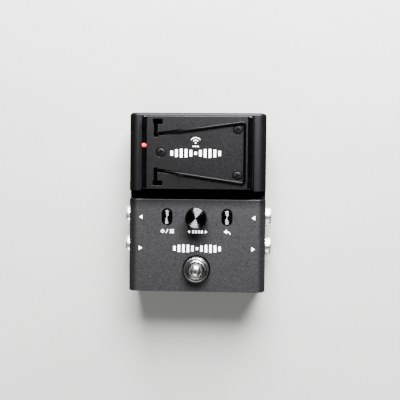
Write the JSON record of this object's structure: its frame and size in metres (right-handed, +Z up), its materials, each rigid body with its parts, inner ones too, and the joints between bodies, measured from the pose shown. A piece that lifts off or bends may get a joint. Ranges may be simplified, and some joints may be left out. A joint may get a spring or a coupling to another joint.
{
  "type": "wireless guitar transmitter and receiver pedal",
  "caption": "Pedal-style receiver for a wireless guitar system with its belt-clip transmitter docked in the rear pocket, footswitch, select knob and keys on top, sockets on the sides.",
  "frame": {"origin": "on the floor under the middle of the pedal, side nuts included", "axes": "+X to the player's right, +Y from the footswitch towards the dock and power inlet, +Z up"},
  "size_m": [0.0886, 0.1046, 0.051],
  "materials": {
    "gunmetal": "satin",
    "tx_gunmetal": "satin",
    "black_plastic": "satin",
    "gloss_black": "gloss",
    "chrome": "polished",
    "steel": "satin",
    "black_steel": "satin",
    "black_anodised": "gloss",
    "gold": "polished",
    "rubber": "matte",
    "board": "satin",
    "glass": "gloss",
    "led_red": "gloss",
    "foil": "satin"
  },
  "bodies": {
    "receiver": {"housing": "gunmetal", "dock_tray": "black_plastic", "display_module": "black_plastic", "menu_switch": "black_plastic", "back_switch": "black_plastic", "jack_left_front": "black_plastic", "jack_left_rear": "black_plastic", "jack_right_front": "black_plastic", "jack_right_rear": "black_plastic", "dc_jack": "black_plastic", "footswitch_washer": "black_plastic", "jack_nut_left_front": "chrome", "jack_nut_left_rear": "chrome", "jack_nut_right_front": "chrome", "jack_nut_right_rear": "chrome", "dc_pin": "chrome", "footswitch_nut": "chrome", "dock_magnet_left": "chrome", "dock_magnet_right": "chrome", "bottom_screw_1": "steel", "bottom_screw_2": "steel", "bottom_screw_3": "steel", "bottom_screw_4": "steel", "usb_port": "steel", "encoder_body": "steel", "footswitch_case": "steel", "footswitch_lock_nut": "steel", "footswitch_spring": "steel", "bottom_plate": "black_steel", "rubber_mat": "rubber", "main_board": "board", "control_board": "board", "display_window": "glass", "radio_module": "foil"},
    "transmitter": {"transmitter_cover": "tx_gunmetal", "transmitter_case": "black_plastic", "transmitter_end_cap_left": "gloss_black", "transmitter_end_cap_right": "gloss_black", "transmitter_screw_1": "black_steel", "transmitter_screw_2": "black_steel", "transmitter_screw_3": "black_steel", "transmitter_board": "board", "transmitter_radio_module": "foil", "transmitter_battery": "foil", "transmitter_keeper": "steel", "charge_pad_left": "gold", "charge_pad_right": "gold", "transmitter_jack": "steel", "transmitter_led": "led_red", "transmitter_power_switch": "black_plastic"},
    "belt_clip": {"clip_wire": "black_steel"},
    "transmitter_power_key": {"transmitter_power_button": "black_plastic"},
    "select_plunger": {"encoder_push_rod": "steel"},
    "select_dial": {"select_knob": "black_anodised", "encoder_shaft": "steel"},
    "menu_key": {"menu_button": "black_anodised"},
    "back_key": {"back_button": "black_anodised"},
    "footswitch_plunger": {"footswitch_button": "chrome"},
    "left_charge_contact": {"charge_pin_left": "gold"},
    "right_charge_contact": {"charge_pin_right": "gold"}
  },
  "joints": [
    {"name": "transmitter_lift", "type": "slide", "parent": "receiver", "child": "transmitter", "axis": [0, 0, 1], "range_m": [0, 0.03]},
    {"name": "clip_open", "type": "hinge", "parent": "transmitter", "child": "belt_clip", "pos_m": [-0.0238, 0.02885, 0.0425], "axis": [0, -1, 0], "range_deg": [0, 30], "stiffness_Nm_per_rad": 0.04, "springref_deg": -17.19},
    {"name": "transmitter_power_press", "type": "slide", "parent": "transmitter", "child": "transmitter_power_key", "axis": [1, 0, 0], "range_m": [0, 0.0004], "stiffness_N_per_m": 1500, "springref_m": -0.0003},
    {"name": "select_press", "type": "slide", "parent": "receiver", "child": "select_plunger", "axis": [0, 0, -1], "range_m": [0, 0.0005], "stiffness_N_per_m": 2000, "springref_m": -0.0004},
    {"name": "select_turn", "type": "hinge", "parent": "select_plunger", "child": "select_dial", "pos_m": [0, -0.0086, 0.04], "axis": [0, 0, -1], "continuous": true},
    {"name": "menu_press", "type": "slide", "parent": "receiver", "child": "menu_key", "axis": [0, 0, -1], "range_m": [0, 0.0005], "stiffness_N_per_m": 1500, "springref_m": -0.0004},
    {"name": "back_press", "type": "slide", "parent": "receiver", "child": "back_key", "axis": [0, 0, -1], "range_m": [0, 0.0005], "stiffness_N_per_m": 1500, "springref_m": -0.0004},
    {"name": "footswitch_press", "type": "slide", "parent": "receiver", "child": "footswitch_plunger", "axis": [0, 0, -1], "range_m": [0, 0.0025], "stiffness_N_per_m": 3000, "springref_m": -0.0015, "deforming": ["footswitch_spring"]},
    {"name": "left_charge_contact_press", "type": "slide", "parent": "receiver", "child": "left_charge_contact", "axis": [0, 0, -1], "range_m": [0, 0.0009], "stiffness_N_per_m": 300, "springref_m": -0.0006},
    {"name": "right_charge_contact_press", "type": "slide", "parent": "receiver", "child": "right_charge_contact", "axis": [0, 0, -1], "range_m": [0, 0.0009], "stiffness_N_per_m": 300, "springref_m": -0.0006}
  ]
}
